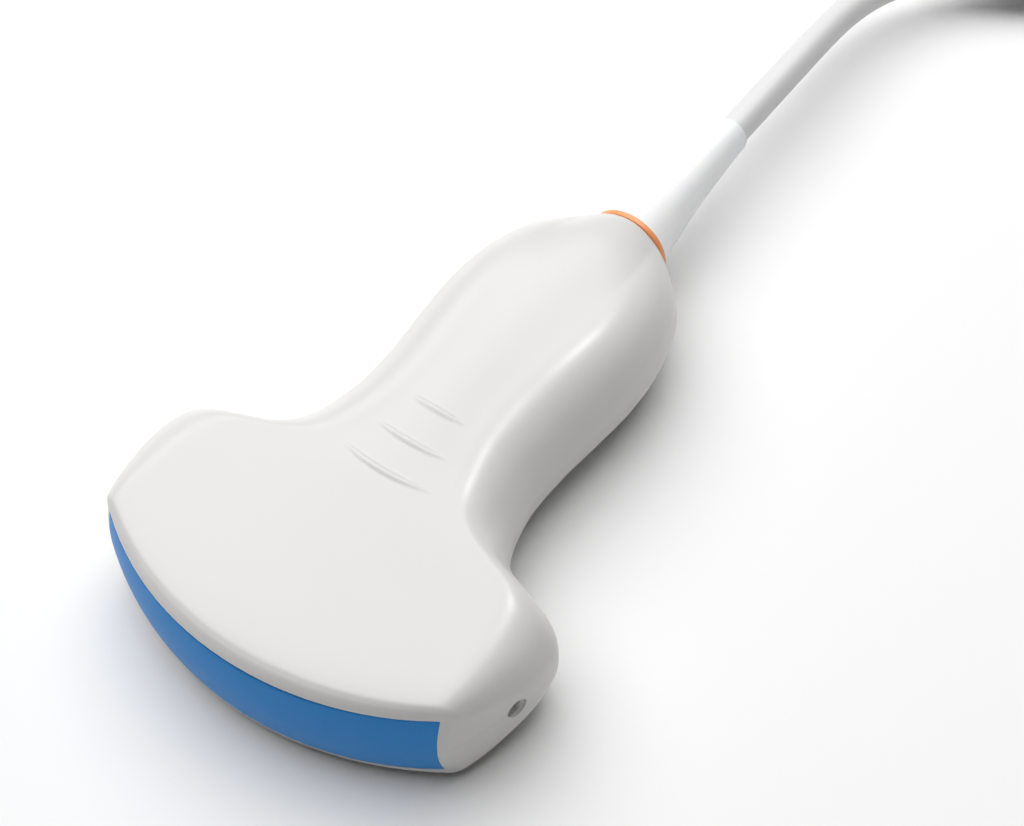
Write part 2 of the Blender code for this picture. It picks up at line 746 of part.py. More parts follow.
def make_lock(back, finishes):
    """Quarter-turn lock: bushing, shaft, latch bar, lever, screw and retaining ring."""
    depth = CONNECTOR_DEPTH / 2
    running = SHAFT_RADIUS + GAP
    sleeve = ((running, depth - 4.0), (4.4, depth - 4.0), (4.4, depth + 0.6), (running, depth + 0.6))
    turned("lock_bushing", sleeve, shaft_place, finishes["brass"], steps=20, ring=True)
    combine(back, shaft_bore("bushing_seat", 4.7, depth - 5.0, depth + 1.0))
    front = -depth - 8.0
    shaft = ((SHAFT_RADIUS, depth + 5.2), (SHAFT_RADIUS, front - 4.1), (3.6, front - 4.1), (3.6, front - 5.0))
    turned("lock_shaft", shaft, shaft_place, finishes["steel"], steps=20)
    clip = ((running, 9.0), (4.2, 9.0), (4.2, 9.9), (running, 9.9))
    turned("retaining_ring", clip, shaft_place, finishes["steel"], steps=20, ring=True)

    def bar_loop(half_a, half_b, radius, out):
        def place(a, b):
            return shaft_place(a, b, out)

        return rounded_loop(half_a, half_b, radius, place)

    bar = [bar_loop(8.5, 2.9, 2.0, front - 0.5), bar_loop(8.5, 2.9, 2.0, front - 3.8)]
    latch = bridged("lock_bar", bar, finishes["steel"])
    combine(latch, shaft_bore("lock_bar_bore", running, front - 5.0, front + 1.0))
    base = depth + 1.0
    wing = [
        bar_loop(17.5, 6.0, 5.5, base),
        bar_loop(18.5, 5.4, 5.0, base + 3.0),
        bar_loop(18.0, 4.4, 4.0, base + 7.0),
        bar_loop(16.5, 3.0, 2.8, base + 8.5),
    ]
    lever = bridged("lock_lever", wing, finishes["lever"])
    hub_profile = ((7.6, base), (7.6, base + 5.5), (7.0, base + 6.3))
    combine(lever, turned("lever_hub", hub_profile, shaft_place, finishes["lever"], steps=20), "UNION")
    bore_profile = ((running, base - 1.0), (running, base + 5.4), (2.9, base + 5.4), (2.9, base + 10.0))
    combine(lever, turned("lever_bore", bore_profile, shaft_place, None, steps=20))
    cap = ((2.5, base + 4.6), (2.5, base + 6.4), (2.1, base + 7.0))
    turned("lever_screw", cap, shaft_place, finishes["steel"], steps=16)


def make_cable_entry(finishes):
    """The boot and the jacket's end inside it."""

    def place(a, b, along):
        return connector_point(a, along, b)

    outside = (
        (7.0, 5.0),
        (7.0, 2.4),
        (5.0, 2.4),
        (5.0, -GAP),
        (7.2, -GAP),
        (7.0, -3.0),
        (6.2, -8.0),
        (5.4, -15.0),
        (4.7, -23.0),
        (4.2, 0.6 - BOOT_LENGTH),
        (3.9, -BOOT_LENGTH),
    )
    bore = ((CABLE_BORE, -BOOT_LENGTH), (CABLE_BORE, 5.0))
    turned("connector_boot", outside + bore, place, finishes["boot"], steps=24, ring=True)
    jacket = ((CABLE_RADIUS, GAP - BOOT_LENGTH), (CABLE_RADIUS, 8.4))
    turned("connector_jacket_end", jacket, place, finishes["cable"], steps=20)


clear_scene()
FINISHES = {
    "white": material("housing_white", (0.80, 0.79, 0.77), 0.38),
    "lens": material("lens_blue", (0.045, 0.19, 0.43), 0.42),
    "layer": material("matching_layer", (0.30, 0.32, 0.28), 0.5),
    "ceramic": material("ceramic", (0.62, 0.58, 0.48), 0.45),
    "backing": material("backing", (0.10, 0.10, 0.11), 0.7),
    "metal": material("aluminium", (0.70, 0.71, 0.72), 0.35, 1.0),
    "steel": material("steel", (0.62, 0.62, 0.63), 0.3, 1.0),
    "brass": material("brass", (0.78, 0.62, 0.34), 0.3, 1.0),
    "gold": material("gold_contact", (0.90, 0.70, 0.32), 0.25, 1.0),
    "foil": material("shield_foil", (0.75, 0.52, 0.36), 0.35, 1.0),
    "flex": material("flex_circuit", (0.55, 0.27, 0.06), 0.4),
    "board": material("board_green", (0.03, 0.20, 0.09), 0.45),
    "wire": material("coax_wires", (0.55, 0.56, 0.60), 0.5),
    "black": material("black_plastic", (0.03, 0.03, 0.03), 0.5),
    "orange": material("ring_orange", (0.86, 0.26, 0.07), 0.4),
    "gloss": material("strain_relief_white", (0.86, 0.86, 0.86), 0.22),
    "cable": material("cable_grey", (0.68, 0.68, 0.67), 0.4),
    "strap": material("strap_grey", (0.20, 0.21, 0.22), 0.85),
    "shell": material("connector_shell", (0.72, 0.72, 0.70), 0.4),
    "block": material("contact_block", (0.05, 0.05, 0.055), 0.45),
    "lever": material("lock_lever", (0.16, 0.17, 0.18), 0.4),
    "boot": material("connector_boot", (0.60, 0.60, 0.59), 0.5),
}
make_housing(FINISHES["white"])
FRAME_BACK = LENS_RADIUS - make_acoustic_stack(FINISHES)
make_chassis(FINISHES, FRAME_BACK)
make_boards(FINISHES)
make_cable_anchor(FINISHES)
make_tail(FINISHES)
make_cable(FINISHES)
FRONT_SHELL, BACK_SHELL = make_shells(FINISHES)
make_contacts(FRONT_SHELL, FINISHES)
make_termination_boards(FINISHES)
make_lock(BACK_SHELL, FINISHES)
make_cable_entry(FINISHES)
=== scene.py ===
"""Looks of a convex ultrasound probe, its cable and its connector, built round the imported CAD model.

Sizes are in millimetres in the probe's own measures, as in the CAD source, and are turned into metres
where a mesh is made. "Along" is the distance behind the lens rim's middle, "up" is from the lens's axis.
"""

import json
import math

import bmesh
import bpy
import numpy as np
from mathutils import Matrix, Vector

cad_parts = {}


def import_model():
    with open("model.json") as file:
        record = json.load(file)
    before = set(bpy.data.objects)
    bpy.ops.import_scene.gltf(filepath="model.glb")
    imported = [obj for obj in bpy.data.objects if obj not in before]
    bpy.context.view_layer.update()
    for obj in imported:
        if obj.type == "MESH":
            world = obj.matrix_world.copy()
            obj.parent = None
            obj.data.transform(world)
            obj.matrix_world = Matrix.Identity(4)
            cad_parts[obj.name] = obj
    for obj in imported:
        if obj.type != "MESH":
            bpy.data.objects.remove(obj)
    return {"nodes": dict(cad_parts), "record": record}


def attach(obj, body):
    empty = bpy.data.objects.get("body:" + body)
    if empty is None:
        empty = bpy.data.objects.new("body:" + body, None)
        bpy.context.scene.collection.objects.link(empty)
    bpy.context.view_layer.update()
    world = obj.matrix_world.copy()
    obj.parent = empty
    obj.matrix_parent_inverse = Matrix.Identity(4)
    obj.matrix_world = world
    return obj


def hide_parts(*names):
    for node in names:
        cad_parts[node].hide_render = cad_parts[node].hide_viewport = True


MM = 0.001

# Probe, the same driving dimensions as the CAD.
PROBE_LENGTH = 153.3
LENS_CROWN = 1.2
AXIS_HEIGHT = 11.7
WALL = 2.2
LENS_RADIUS = 60.0
LENS_HALF_CHORD = 34.3
LENS_HALF_HEIGHT = 7.9
LENS_THICKNESS = 1.6
GUIDE_HOLE_RADIUS = 1.7
GUIDE_HOLE_ALONG = 22.6
GUIDE_HOLE_BOTTOM = 38.1  # across, from the middle of the probe
GUIDE_HOLE_MOUTH = 39.75
TAIL_END = 114.2
TAIL_RISE = 1.0
TAIL_BORE = 6.4
RING_RADIUS = 8.2
RING_WIDTH = 1.2
RING_START = TAIL_END + 0.15
RELIEF_END = PROBE_LENGTH - LENS_CROWN
TOP_CROWN = 0.5
SEAM = 0.012  # half the parting gap that shows between the housing's halves
LENS_GAP = 0.03  # round the lens, which is bonded into its window

# The housing's outline: along at the middle, along at the sides, half width, height above the axis,
# depth below it, side radius across, side radius upwards, and roundness from 0 (boxy) to 1 (round).
STATIONS = (
    (0.0, 11.7, 35.5, 8.6, 8.3, 0.6, 0.6, 0.0),
    (0.5, 12.1, 36.0, 9.4, 9.2, 1.5, 1.5, 0.0),
    (1.4, 13.0, 36.6, 10.2, 10.2, 2.7, 2.7, 0.0),
    (3.0, 14.4, 37.3, 10.8, 11.1, 4.2, 4.2, 0.0),
    (7.0, 18.0, 38.6, 11.2, 11.7, 5.8, 5.8, 0.0),
    (13.0, 22.4, 39.9, 11.4, 11.7, 7.6, 7.5, 0.0),
    (19.0, 26.8, 40.8, 11.5, 11.7, 9.0, 8.9, 0.0),
    (25.2, 30.8, 40.9, 11.6, 11.7, 10.0, 10.0, 0.0),
    (30.4, 34.0, 40.2, 11.7, 11.7, 10.6, 10.6, 0.0),
    (34.1, 36.2, 38.0, 11.8, 11.7, 11.0, 10.9, 0.0),
    (36.6, 37.6, 34.2, 11.9, 11.7, 11.3, 11.1, 0.0),
    (39.0, 39.4, 29.2, 12.0, 11.7, 11.5, 11.3, 0.0),
    (42.4, 42.4, 24.7, 12.1, 11.7, 11.6, 11.3, 0.0),
    (46.4, 46.4, 22.0, 12.2, 11.7, 11.5, 11.3, 0.0),
    (51.5, 51.5, 20.3, 12.4, 11.7, 11.4, 11.2, 0.0),
    (57.6, 57.6, 19.3, 12.6, 11.7, 11.6, 11.2, 0.0),
    (66.4, 66.4, 19.4, 12.8, 11.7, 12.0, 11.2, 0.0),
    (76.2, 76.2, 20.3, 13.0, 11.7, 12.0, 11.2, 0.0),
    (85.0, 85.0, 21.0, 13.0, 11.7, 12.0, 11.2, 0.05),
    (92.8, 92.8, 20.8, 12.8, 11.5, 12.0, 11.0, 0.15),
    (99.4, 99.4, 19.6, 12.4, 11.1, 12.0, 10.6, 0.3),
    (105.2, 105.2, 17.2, 11.8, 10.3, 11.4, 10.0, 0.5),
    (110.0, 110.0, 13.4, 10.8, 9.1, 10.0, 9.0, 0.75),
    (113.2, 113.2, 9.9, 9.8, 7.9, 8.8, 7.8, 0.95),
    (TAIL_END, TAIL_END, 8.1, 9.1, 7.1, 7.8, 7.0, 1.0),
)
OUTER_STEPS = (12, 16, 26)  # steps on the straight side, round the corner and over the flat
INNER_STEPS = (12, 4, 13)
WINDOW_STATIONS = 4  # the first stations, where the inside is the lens's seat
CHEEK_RISE = 1.45  # how far the ends of the lens's window bow forwards at mid height, level with the lens
CHEEK_STATIONS = 5  # over these stations, the ends follow the lens's crown

# Grip ribs on the top, front to back: along at the middle, and half length.
GRIP_RIBS = ((40.6, 9.2), (47.8, 7.3), (55.6, 5.7))
RIB_HEIGHT = 0.36
RIB_HALF_WIDTH = 0.85
RIB_RADIUS = 34.0
RIB_SPANS = range(11, 16)  # the spans between stations that get finer rows
RIB_SPAN_ROWS = 26
SPAN_ROWS = 8

# Cable, and the route that the CAD gives it.
CABLE_RADIUS = 3.25
COIL_CENTRE = (1.0, 206.6)
COIL_MIDDLE_RADIUS = 36.0
COIL_COLUMNS = 4
COIL_LIFT = 1.2
COLUMN_CHANGE = 120.0  # degrees over which the cable moves one column in or out
LAYER_CHANGE = 150.0  # degrees over which it climbs onto the top layer
CROSSING_LIFT = 7.05  # how far it rises above the top layer to cross the coil
PROBE_SIDE_ROUTE = (
    (0.0, 76.95, 12.7),
    (0.0, 90.0, 12.7),
    (0.0, 102.5, 12.6),
    (-0.1, 112.5, 12.2),
    (0.1, 122.2, 11.6),
    (1.4, 131.6, 10.9),
    (4.4, 140.5, 10.0),
    (9.4, 148.2, 9.0),
    (16.0, 154.0, 7.9),
    (23.6, 158.5, 6.8),
    (31.2, 163.2, 5.7),
    (38.2, 169.4, 4.7),
)
BOOT_ROUTE = (
    (27.2, 206.6, 22.0),
    (27.25, 216.7, 22.0),
    (27.25, 226.7, 22.0),
)
CABLE_NODES = ("cable_probe_side", "cable_coil", "cable_connector_side")

# Camera: where it looks from, in degrees and millimetres round a point on the probe.
CAMERA_AZIMUTH = 34.82
CAMERA_ELEVATION = 52.31
CAMERA_DISTANCE = 331.2
CAMERA_TARGET = (11.8, -0.24, 11.7)
CAMERA_LENS = 65.49
CAMERA_SHIFT = -0.0469

# Stage, in metres and watts. A light is (azimuth, elevation, distance, size, power).
KEY = (238.0, 67.0, 1.0, 1.65, 19.1)
GLINT = (172.0, 57.0, 1.4, 0.15, 3.0)
LIGHT_TARGET = (0.0, 0.0, 0.01)
SURROUND = 0.04
FLOOR_HALF_SIDE = 12.0
GLOW_START = 0.38
GLOW_FULL = 1.5
GLOW_STRENGTH = 0.9


# ---------------------------------------------------------------- measures and meshes


def probe_point(across, along, up):
    """A point of the probe, in millimetres in the shared frame."""
    return (across, along + LENS_CROWN - PROBE_LENGTH / 2, up + AXIS_HEIGHT)


def tail_point(across, up, along):
    """A point about the cable's axis at the probe's tail."""
    return probe_point(across, along, up + TAIL_RISE)


def new_object(name, points, faces, finish):
    """A smooth-shaded mesh object in metres from points in millimetres, riding on the root body."""
    mesh = bpy.data.meshes.new(name)
    mesh.from_pydata([tuple(c * MM for c in point) for point in points], [], faces)
    shape = bmesh.new()
    shape.from_mesh(mesh)
    bmesh.ops.recalc_face_normals(shape, faces=shape.faces)
    shape.to_mesh(mesh)
    shape.free()
    mesh.shade_smooth()
    mesh.set_sharp_from_angle(angle=math.radians(40.0))
    mesh.materials.append(finish)
    made = bpy.data.objects.new(name, mesh)
    bpy.context.scene.collection.objects.link(made)
    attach(made, "root")
    return made


def bridged(name, loops, finish, ring=False):
    """A solid through a row of loops with equal counts: capped at both ends, or closed into a ring."""
    count = len(loops[0])
    points = [point for loop in loops for point in loop]
    pairs = [(k, k + 1) for k in range(len(loops) - 1)]
    faces = []
    if ring:
        pairs.append((len(loops) - 1, 0))
    else:
        faces.append(list(range(count)))
        faces.append([(len(loops) - 1) * count + k for k in range(count)])
    for near, far in pairs:
        for k in range(count):
            after = (k + 1) % count
            faces.append((near * count + k, near * count + after, far * count + after, far * count + k))
    return new_object(name, points, faces, finish)


def turned(name, profile, place, finish, steps=96, ring=False):
    """A turned piece. profile holds (radius, along); place(a, b, along) puts each point."""
    angles = [2 * math.pi * k / steps for k in range(steps)]
    loops = [
        [place(radius * math.cos(a), radius * math.sin(a), along) for a in angles]
        for radius, along in profile
    ]
    return bridged(name, loops, finish, ring)


def catmull_rom(rows, steps):
    """Rows of numbers on a smooth curve through the given rows; steps holds the parts in each span."""
    known = np.array(rows, float)
    padded = np.vstack([2 * known[0] - known[1], known, 2 * known[-1] - known[-2]])
    made = []
    for span, parts in enumerate(steps):
        p0, p1, p2, p3 = padded[span : span + 4]
        for k in range(parts):
            t = k / parts
            square = (2 * p0 - 5 * p1 + 4 * p2 - p3) * t**2
            cube = (3 * p1 - 3 * p2 + p3 - p0) * t**3
            made.append(0.5 * (2 * p1 + (p2 - p0) * t + square + cube))
    made.append(known[-1])
    return np.array(made)


def cut(target, cutter):
    """Cut a closed piece with another and remove the cutter."""
    change = target.modifiers.new("cut", "BOOLEAN")
    change.operation = "DIFFERENCE"
    change.object = cutter
    graph = bpy.context.evaluated_depsgraph_get()
    mesh = bpy.data.meshes.new_from_object(target.evaluated_get(graph))
    target.modifiers.clear()
    target.data = mesh
    bpy.data.objects.remove(cutter, do_unlink=True)


# ---------------------------------------------------------------- materials


class Nodes:
    """A material's node tree, with short ways to add the usual textures."""

    def __init__(self, name, colour, roughness, metallic=0.0):
        self.material = bpy.data.materials.new(name)
        self.material.use_nodes = True
        self.tree = self.material.node_tree
        self.shader = self.tree.nodes["Principled BSDF"]
        self.shader.inputs["Base Color"].default_value = (*colour, 1.0)
        self.shader.inputs["Roughness"].default_value = roughness
        self.shader.inputs["Metallic"].default_value = metallic
        self.place = self.tree.nodes.new("ShaderNodeTexCoord").outputs["Object"]
        self.height = None

    def link(self, source, target):
        self.tree.links.new(source, target)

    def noise(self, scale, detail=2.0, roughness=0.5, stretch=None):
        """Noise over the piece; scale is in cells per metre."""
        node = self.tree.nodes.new("ShaderNodeTexNoise")
        node.inputs["Scale"].default_value = scale
        node.inputs["Detail"].default_value = detail
        node.inputs["Roughness"].default_value = roughness
        self.link(self.stretched(stretch), node.inputs["Vector"])
        return node.outputs["Fac"]

    def stretched(self, stretch):
        """The place on the piece, with a scale for each axis if one is given."""
        if stretch is None:
            return self.place
        mapping = self.tree.nodes.new("ShaderNodeMapping")
        mapping.inputs["Scale"].default_value = stretch
        self.link(self.place, mapping.inputs["Vector"])
        return mapping.outputs["Vector"]

    def cells(self, scale):
        """Rounded cells, as on a textured mould."""
        node = self.tree.nodes.new("ShaderNodeTexVoronoi")
        node.inputs["Scale"].default_value = scale
        self.link(self.place, node.inputs["Vector"])
        return node.outputs["Distance"]

    def waves(self, scale, direction):
        """Even bands along X, Y or Z."""
        node = self.tree.nodes.new("ShaderNodeTexWave")
        node.bands_direction = direction
        node.inputs["Scale"].default_value = scale
        self.link(self.place, node.inputs["Vector"])
        return node.outputs["Fac"]

    def ranged(self, source, low, high):
        """Spread the middle of a texture's values from low to high."""
        node = self.tree.nodes.new("ShaderNodeMapRange")
        node.inputs["From Min"].default_value = 0.3
        node.inputs["From Max"].default_value = 0.7
        node.inputs["To Min"].default_value = low
        node.inputs["To Max"].default_value = high
        self.link(source, node.inputs["Value"])
        return node.outputs["Result"]

    def rough(self, source, low, high):
        """Let a texture vary the roughness between two values."""
        self.link(self.ranged(source, low, high), self.shader.inputs["Roughness"])

    def tint(self, source, low, high):
        """Let a texture vary the colour between two colours."""
        mix = self.tree.nodes.new("ShaderNodeMix")
        mix.data_type = "RGBA"
        self.link(self.ranged(source, 0.0, 1.0), mix.inputs["Factor"])
        mix.inputs["A"].default_value = (*low, 1.0)
        mix.inputs["B"].default_value = (*high, 1.0)
        self.link(mix.outputs["Result"], self.shader.inputs["Base Color"])

    def bump(self, source, depth):
        """Raise the surface by a texture; depth is in metres. Calls add up."""
        node = self.tree.nodes.new("ShaderNodeBump")
        node.inputs["Distance"].default_value = depth
        self.link(source, node.inputs["Height"])
        if self.height is not None:
            self.link(self.height, node.inputs["Normal"])
        self.height = node.outputs["Normal"]
        self.link(self.height, self.shader.inputs["Normal"])

    def set(self, **values):
        """Even values on the shader's own sockets."""
        for name, value in values.items():
            self.shader.inputs[name.replace("_", " ")].default_value = value


def shaded(colour, factor):
    """A colour made lighter or darker."""
    return tuple(min(c * factor, 1.0) for c in colour)


def moulded(name, colour, roughness, grain, depth, spread):
    """Moulded plastic: a fine spark-eroded grain, and slight changes of gloss and colour."""
    made = Nodes(name, colour, roughness)
    made.tint(made.noise(38.0, 3.0), shaded(colour, 1 - spread), shaded(colour, 1 + spread))
    made.rough(made.noise(2400.0, 2.0), roughness - spread, roughness + spread)
    made.bump(made.noise(grain, 2.0), depth)
    return made


def brushed(name, colour, roughness, stretch):
    """Metal with fine lines along one direction."""
    made = Nodes(name, colour, roughness, 1.0)
    lines = made.noise(900.0, 4.0, 0.6, stretch)
    made.rough(lines, roughness - 0.08, roughness + 0.12)
    made.tint(made.noise(60.0, 3.0), shaded(colour, 0.94), shaded(colour, 1.03))
    made.bump(lines, 3e-6)
    return made


def make_finishes():
    """Every material, by its slot in the record."""
    white = moulded("housing_white", (0.70, 0.692, 0.677), 0.28, 3200.0, 3e-7, 0.006)
    white.set(Specular_IOR_Level=0.4)
    lens = moulded("lens_blue", (0.022, 0.26, 0.69), 0.45, 1800.0, 2e-6, 0.01)
    lens.set(Subsurface_Weight=0.05, Subsurface_Scale=0.001, Specular_IOR_Level=0.2)
    gloss = moulded("strain_relief_white", (0.98, 0.98, 0.98), 0.22, 900.0, 2e-6, 0.004)
    gloss.set(Subsurface_Weight=0.1, Subsurface_Scale=0.002)
    cable = moulded("cable_grey", (0.74, 0.74, 0.74), 0.42, 1500.0, 6e-6, 0.01)
    ring = moulded("ring_orange", (0.92, 0.35, 0.13), 0.38, 2200.0, 3e-6, 0.03)
    shell = moulded("connector_shell", (0.72, 0.72, 0.70), 0.45, 2400.0, 9e-6, 0.012)
    shell.bump(shell.cells(2600.0), 6e-6)
    lever = moulded("lock_lever", (0.16, 0.17, 0.18), 0.40, 2400.0, 7e-6, 0.03)
    boot = moulded("connector_boot", (0.60, 0.60, 0.59), 0.52, 1200.0, 8e-6, 0.015)
    black = moulded("black_plastic", (0.03, 0.03, 0.03), 0.45, 1600.0, 9e-6, 0.10)
    block = moulded("contact_block", (0.05, 0.05, 0.055), 0.42, 1800.0, 6e-6, 0.08)
    seal = moulded("seal_rubber", (0.03, 0.03, 0.03), 0.60, 1400.0, 8e-6, 0.10)
    backing = moulded("backing", (0.10, 0.10, 0.11), 0.72, 900.0, 3e-5, 0.15)
    layer = moulded("matching_layer", (0.30, 0.32, 0.28), 0.50, 1500.0, 6e-6, 0.06)
    ceramic = moulded("ceramic", (0.62, 0.58, 0.48), 0.45, 1800.0, 8e-6, 0.04)
    ceramic.bump(ceramic.waves(1200.0, "X"), 8e-6)
    wires = moulded("coax_wires", (0.55, 0.56, 0.60), 0.45, 1500.0, 5e-6, 0.06)
    wires.bump(wires.cells(900.0), 1.5e-4)
    flex = moulded("flex_circuit", (0.55, 0.27, 0.06), 0.30, 1500.0, 3e-6, 0.05)
    flex.bump(flex.waves(400.0, "X"), 1e-5)
    board = moulded("board_green", (0.03, 0.20, 0.09), 0.32, 1500.0, 3e-6, 0.08)
    board.bump(board.cells(320.0), 2e-5)
    strap = Nodes("strap_grey", (0.20, 0.21, 0.22), 0.85)
    strap.tint(strap.noise(1500.0, 3.0), (0.13, 0.135, 0.14), (0.25, 0.26, 0.27))
    strap.bump(strap.cells(1700.0), 1.2e-4)
    strap.bump(strap.noise(4200.0, 3.0), 5e-5)
    strap.set(Sheen_Weight=0.4, Sheen_Roughness=0.5)
    across = (0.03, 1.0, 1.0)
    made = {
        "aluminium": brushed("aluminium", (0.70, 0.71, 0.72), 0.34, across),
        "steel": brushed("steel", (0.62, 0.62, 0.63), 0.28, across),
        "brass": brushed("brass", (0.78, 0.62, 0.34), 0.30, across),
        "gold_contact": brushed("gold_contact", (0.90, 0.70, 0.32), 0.24, across),
        "shield_foil": brushed("shield_foil", (0.75, 0.52, 0.36), 0.36, across),
        "housing_white": white,
        "lens_blue": lens,
        "strain_relief_white": gloss,
        "cable_grey": cable,
        "ring_orange": ring,
        "connector_shell": shell,
        "lock_lever": lever,
        "connector_boot": boot,
        "black_plastic": black,
        "contact_block": block,
        "seal_rubber": seal,
        "backing": backing,
        "matching_layer": layer,
        "ceramic": ceramic,
        "coax_wires": wires,
        "flex_circuit": flex,
        "board_green": board,
        "strap_grey": strap,
    }
    return {slot: nodes.material for slot, nodes in made.items()}


def paint_cad_nodes(frame, finishes):
    """Give every CAD node the finish of its slot, smooth where it is round."""
    for part in frame["record"]["subparts"]:
        node = frame["nodes"][part["node"]]
        node.data.materials.clear()
        node.data.materials.append(finishes[part["material_slot"]])
        node.data.shade_smooth()
        node.data.set_sharp_from_angle(angle=math.radians(35.0))


# ---------------------------------------------------------------- housing


def bow(across, half_width, sag):
    """How far an arc that reaches sag at half_width has gone back at a point across."""
    if abs(sag) < 1e-6:
        return 0.0
    radius = (half_width**2 + sag**2) / (2 * abs(sag))
    return math.copysign(radius - math.sqrt(max(radius**2 - across**2, 0.0)), sag)


def rib_height(across, along):
    """How far the grip ribs lift the top at a point: curved, and tapered towards their ends."""
    lift = 0.0
    for middle, half_length in GRIP_RIBS:
        share = abs(across) / half_length
        if share >= 1.0:
            continue
        centre = middle + RIB_RADIUS - math.sqrt(RIB_RADIUS**2 - across**2)
        width = RIB_HALF_WIDTH * (1 - share**2) ** 0.5 + 0.15
        offset = (along - centre) / width
        if abs(offset) < 1.0:
            lift += RIB_HEIGHT * (1 - share**2) ** 0.8 * (0.5 + 0.5 * math.cos(math.pi * offset))
    return lift


def half_section(station, side, steps, cheek):
    """Points from +X over to -X on one side (1 above, -1 below) of one station.

    steps holds the numbers of steps on the straight side, round the corner and over the flat.
    """
    middle, flank, width, above, below, run, rise, roundness = station
    height = above if side > 0 else below
    crown = TOP_CROWN if side > 0 else 0.0
    rise = min(rise, height * 0.96)
    straight, corner, flat_steps = steps
    quarter = [(width, (height - rise) * k / straight) for k in range(straight)]
    quarter += [
        (width - run * (1 - math.cos(a)), height - rise * (1 - math.sin(a)))
        for a in [math.pi / 2 * k / corner for k in range(corner + 1)]
    ]
    flat = max(width - run, 0.0)
    for k in range(flat_steps - 1, -1, -1):
        t = k / flat_steps
        quarter.append((flat * t, height + crown * (1 - t * t) ** 2))
    last = len(quarter) - 1
    points = []
    for k, (x, z) in enumerate(quarter):
        angle = math.pi / 2 * k / last
        x += roundness * (width * math.cos(angle) - x)
        z += roundness * (height * math.sin(angle) - z)
        points.append((max(x, 0.0), max(z, SEAM)))
    points += [(-x, z) for x, z in reversed(points[:-1])]
    placed = []
    for x, z in points:
        along = middle + bow(x, width, flank - middle)
        swell = cheek * max(1 - (z / LENS_HALF_HEIGHT) ** 2, 0.0) * (abs(x) / width) ** 8
        placed.append((x, along - CHEEK_RISE * swell, side * z))
    return placed


def inner_station(index):
    """The cavity behind a station of the outline: the lens's seat, an even wall, then the tail's bore."""
    middle, flank, width, above, below, run, rise, roundness = STATIONS[index]
    seat = (LENS_HALF_CHORD + LENS_GAP, LENS_HALF_HEIGHT + LENS_GAP)
    bore = (TAIL_BORE, TAIL_BORE + TAIL_RISE, TAIL_BORE - TAIL_RISE, 6.0, 5.0, 1.0)
    last = len(STATIONS) - 1
    if index < WINDOW_STATIONS:
        middle *= 1.5
        sag = LENS_RADIUS - math.sqrt(LENS_RADIUS**2 - seat[0] ** 2)
        return (middle, middle + sag, *seat, seat[1], 0.3, 0.3, 0.0)
    if index == last:
        return (TAIL_END, TAIL_END, *bore)
    if index == last - 1:
        bore_start = TAIL_END - 6.0
        return (bore_start, bore_start, *bore)
    if index == last - 2:
        cavity_end = TAIL_END - 6.5
        return (cavity_end, cavity_end, 9.6, 8.8 + TAIL_RISE, 8.8 - TAIL_RISE, 9.0, 7.4, 1.0)
    before, after = STATIONS[index - 1], STATIONS[index + 1]
    turn = Vector((after[2] - before[2], after[1] - before[1])).normalized()
    inward = Vector((-turn.y, turn.x)) * WALL
    return (
        middle,
        flank + inward.y,
        width + inward.x,
        above - WALL,
        below - WALL,
        max(run - WALL, 1.0),
        max(rise - WALL, 1.0),
        roundness,
    )


def cheek_share(row):
    """How much a row, counted in stations, follows the lens's crown at its ends."""
    return max(1 - row / CHEEK_STATIONS, 0.0) ** 2


def housing_rows(side):
    """The outer surface of one half, as fine rows of points, and where each station's row is."""
    ribbed = RIB_SPANS if side > 0 else ()
    steps = [RIB_SPAN_ROWS if k in ribbed else SPAN_ROWS for k in range(len(STATIONS) - 1)]
    stations = catmull_rom(STATIONS, steps)
    row_of_station = np.concatenate([[0], np.cumsum(steps)])
    rows = []
    for number, station in enumerate(stations):
        place = np.interp(number, row_of_station, range(len(STATIONS)))
        row = half_section(station, side, OUTER_STEPS, cheek_share(place))
        if side > 0:
            row = [(x, y, z + rib_height(x, y)) for x, y, z in row]
        rows.append(row)
    return rows, row_of_station


def matching_columns():
    """For each column of the inner surface, the outer column that it meets at the rims."""
    columns = [0]
    pairs = list(zip(OUTER_STEPS, INNER_STEPS))
    for outer_steps, inner_steps in pairs + pairs[::-1]:
        columns += [columns[-1] + outer_steps * (k + 1) // inner_steps for k in range(inner_steps)]
    return columns


def housing_half(name, side, finish):
    """One moulded half: a fine outer surface and a plainer cavity, joined round all four edges."""
    outer, row_of_station = housing_rows(side)
    inner = [
        half_section(inner_station(k), side, INNER_STEPS, cheek_share(k))
        for k in range(len(STATIONS))
    ]
    points = [probe_point(*p) for row in outer + inner for p in row]
    width, inner_width = len(outer[0]), len(inner[0])
    base = len(outer) * width

    def out(row, k):
        return row * width + k

    def ins(row, k):
        return base + row * inner_width + k

    faces = []
    for row in range(len(outer) - 1):
        for k in range(width - 1):
            faces.append((out(row, k), out(row, k + 1), out(row + 1, k + 1), out(row + 1, k)))
    for row in range(len(inner) - 1):
        for k in range(inner_width - 1):
            faces.append((ins(row, k), ins(row + 1, k), ins(row + 1, k + 1), ins(row, k + 1)))
    # The parting faces, from each inner span to the fine outer rows beside it.
    for edge, inner_edge in ((0, 0), (width - 1, inner_width - 1)):
        for row in range(len(inner) - 1):
            first, last = row_of_station[row], row_of_station[row + 1]
            rim = [out(r, edge) for r in range(last, first - 1, -1)]
            faces.append([ins(row, inner_edge), ins(row + 1, inner_edge), *rim])
    # The window's lip and the tail's end, a fan of faces between unequal rows.
    for row, inner_row in ((0, 0), (len(outer) - 1, len(inner) - 1)):
        starts = matching_columns()
        for k in range(inner_width - 1):
            rim = [out(row, j) for j in range(starts[k + 1], starts[k] - 1, -1)]
            faces.append([ins(inner_row, k), ins(inner_row, k + 1), *rim])
    return new_object(name, points, faces, finish)


